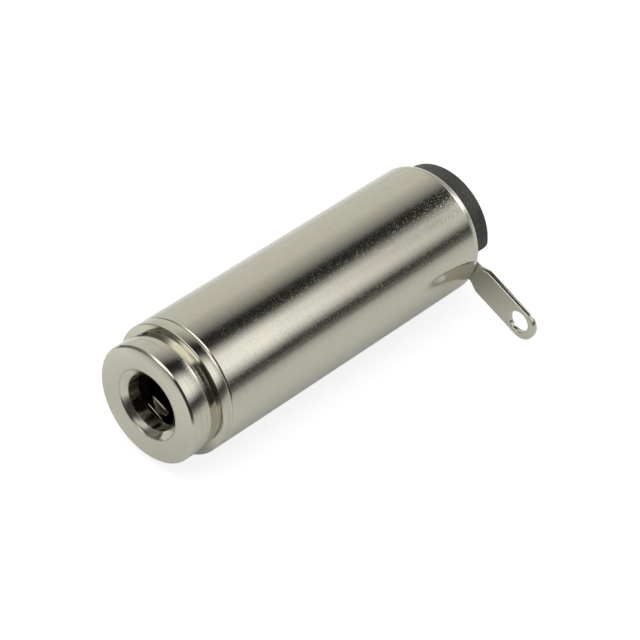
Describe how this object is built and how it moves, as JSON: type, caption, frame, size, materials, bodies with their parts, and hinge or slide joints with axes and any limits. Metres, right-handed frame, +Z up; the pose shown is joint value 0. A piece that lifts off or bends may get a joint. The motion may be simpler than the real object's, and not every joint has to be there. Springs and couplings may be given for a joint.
{
  "type": "audio jack socket",
  "caption": "Inline audio jack socket insert: grooved metal nose with a plug bore, metal tube, black rear insulator, side solder lug and spring contacts.",
  "frame": {"origin": "centre of the front face, on the axis of the plug bore", "axes": "+Y rearwards along the plug bore's axis, +Z up, +X to the side that the solder lug leans to; the plug enters along +Y"},
  "size_m": [0.0128, 0.0277, 0.0082],
  "materials": {
    "turned_nickel": "nickel-plated brass, fine turned",
    "drawn_nickel": "nickel-plated brass, drawn and polished",
    "stamped_nickel": "nickel-plated brass sheet, stamped",
    "spring_metal": "plated phosphor bronze, stamped",
    "black_moulding": "matt black moulding"
  },
  "bodies": {
    "socket": {"front_bush": "turned_nickel", "shell_tube": "drawn_nickel", "front_insulator": "black_moulding", "rear_insulator": "black_moulding", "earth_lug": "stamped_nickel"},
    "sleeve_leaf": {"sleeve_contact": "spring_metal"},
    "ring_leaf": {"ring_contact": "spring_metal"},
    "tip_leaf": {"tip_contact": "spring_metal"}
  },
  "joints": [
    {"name": "sleeve_flex", "type": "hinge", "parent": "socket", "child": "sleeve_leaf", "pos_m": [-0.00118, 0.018, -0.00291], "axis": [0.9264, 0, -0.3765], "range_deg": [0, 1.19], "stiffness_Nm_per_rad": 2},
    {"name": "ring_flex", "type": "hinge", "parent": "socket", "child": "ring_leaf", "pos_m": [-0.00185, 0.02285, 0.00075], "axis": [-0.3765, 0, -0.9264], "range_deg": [0, 1.36], "stiffness_Nm_per_rad": 0.6},
    {"name": "tip_flex", "type": "hinge", "parent": "socket", "child": "tip_leaf", "pos_m": [0, 0.02285, 0], "axis": [-0.9264, 0, 0.3765], "range_deg": [0, 2.72], "stiffness_Nm_per_rad": 0.25}
  ]
}
